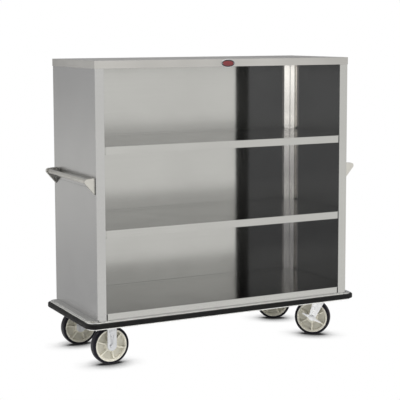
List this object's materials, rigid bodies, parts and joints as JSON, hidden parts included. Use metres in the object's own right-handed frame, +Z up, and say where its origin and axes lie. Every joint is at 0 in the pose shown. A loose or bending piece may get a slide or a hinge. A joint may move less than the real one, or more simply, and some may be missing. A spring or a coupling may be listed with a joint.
{
  "type": "enclosed shelf transport cart",
  "caption": "Stainless cabinet cart, open at the front with shelves, on a bumpered base with rigid and swivel casters, side brakes and an end push handle.",
  "frame": {"origin": "on the floor under the middle of the cart", "axes": "+X along the cart's length, to the end with the swivel casters; +Y from the open front to the back panel; +Z up"},
  "size_m": [1.644, 0.66, 1.592],
  "materials": {
    "stainless": "brushed, fine vertical grain",
    "base_steel": "mill finish stainless",
    "handle_steel": "satin",
    "bumper_aluminium": "satin anodised",
    "black_vinyl": "semi-matt, finely ribbed",
    "black_rubber": "smooth moulded rubber",
    "cream_hub": "moulded, satin",
    "zinc_plate": "bright zinc plating",
    "bearing_steel": "ground",
    "red_enamel": "gloss enamel with a bright rim"
  },
  "bodies": {
    "cart": {"back_panel": "stainless", "badge": "red_enamel", "badge_rivets": "zinc_plate", "base_deck": "base_steel", "bottom_shelf": "stainless", "bumper_channel": "bumper_aluminium", "bumper_strip": "black_vinyl", "caster_bolts": "zinc_plate", "caster_nuts": "zinc_plate", "front_base_rail": "base_steel", "handle_bolts": "zinc_plate", "kingpins": "bearing_steel", "left_axle_nuts": "zinc_plate", "left_axles": "zinc_plate", "left_caster_channel": "base_steel", "left_corner_post": "stainless", "left_end_panel": "stainless", "left_front_fork": "zinc_plate", "left_front_handle_bracket": "handle_steel", "left_handle_bar": "handle_steel", "left_rear_fork": "zinc_plate", "left_rear_handle_bracket": "handle_steel", "middle_shelf": "stainless", "middle_shelf_stiffener": "base_steel", "rear_base_rail": "base_steel", "right_caster_channel": "base_steel", "right_corner_post": "stainless", "right_end_panel": "stainless", "right_front_handle_bracket": "handle_steel", "right_front_swivel_plate": "zinc_plate", "right_handle_bar": "handle_steel", "right_rear_handle_bracket": "handle_steel", "right_rear_swivel_plate": "zinc_plate", "top_cap": "stainless", "top_stiffener": "base_steel", "upper_shelf": "stainless", "upper_shelf_stiffener": "base_steel"},
    "left_front_wheel": {"left_front_tread": "black_rubber", "left_front_hub": "cream_hub", "left_front_bearing": "bearing_steel"},
    "left_rear_wheel": {"left_rear_tread": "black_rubber", "left_rear_hub": "cream_hub", "left_rear_bearing": "bearing_steel"},
    "right_front_wheel": {"right_front_tread": "black_rubber", "right_front_hub": "cream_hub", "right_front_bearing": "bearing_steel"},
    "right_rear_wheel": {"right_rear_tread": "black_rubber", "right_rear_hub": "cream_hub", "right_rear_bearing": "bearing_steel"},
    "right_front_swivel": {"right_front_fork": "zinc_plate", "right_front_swivel_balls": "bearing_steel", "right_front_axle": "zinc_plate", "right_front_axle_nut": "zinc_plate"},
    "right_front_brake": {"right_front_brake_lever": "zinc_plate"},
    "right_rear_swivel": {"right_rear_fork": "zinc_plate", "right_rear_swivel_balls": "bearing_steel", "right_rear_axle": "zinc_plate", "right_rear_axle_nut": "zinc_plate"},
    "right_rear_brake": {"right_rear_brake_lever": "zinc_plate"}
  },
  "joints": [
    {"name": "left_front_wheel_spin", "type": "hinge", "parent": "cart", "child": "left_front_wheel", "pos_m": [-0.662, -0.222, 0.1016], "axis": [0, 1, 0], "continuous": true},
    {"name": "left_rear_wheel_spin", "type": "hinge", "parent": "cart", "child": "left_rear_wheel", "pos_m": [-0.662, 0.222, 0.1016], "axis": [0, 1, 0], "continuous": true},
    {"name": "right_front_swivel", "type": "hinge", "parent": "cart", "child": "right_front_swivel", "pos_m": [0.652, -0.222, 0.22], "axis": [0, 0, 1], "continuous": true},
    {"name": "right_front_wheel_spin", "type": "hinge", "parent": "right_front_swivel", "child": "right_front_wheel", "pos_m": [0.61577, -0.19051, 0.1016], "axis": [0.6561, 0.7547, 0], "continuous": true},
    {"name": "right_front_brake", "type": "hinge", "parent": "right_front_swivel", "child": "right_front_brake", "pos_m": [0.61577, -0.19051, 0.1016], "axis": [-0.6561, -0.7547, 0], "range_deg": [0, 50]},
    {"name": "right_rear_swivel", "type": "hinge", "parent": "cart", "child": "right_rear_swivel", "pos_m": [0.652, 0.222, 0.22], "axis": [0, 0, 1], "continuous": true},
    {"name": "right_rear_wheel_spin", "type": "hinge", "parent": "right_rear_swivel", "child": "right_rear_wheel", "pos_m": [0.61043, 0.246, 0.1016], "axis": [0.5, 0.866, 0], "continuous": true},
    {"name": "right_rear_brake", "type": "hinge", "parent": "right_rear_swivel", "child": "right_rear_brake", "pos_m": [0.61043, 0.246, 0.1016], "axis": [-0.5, -0.866, 0], "range_deg": [0, 50]}
  ]
}
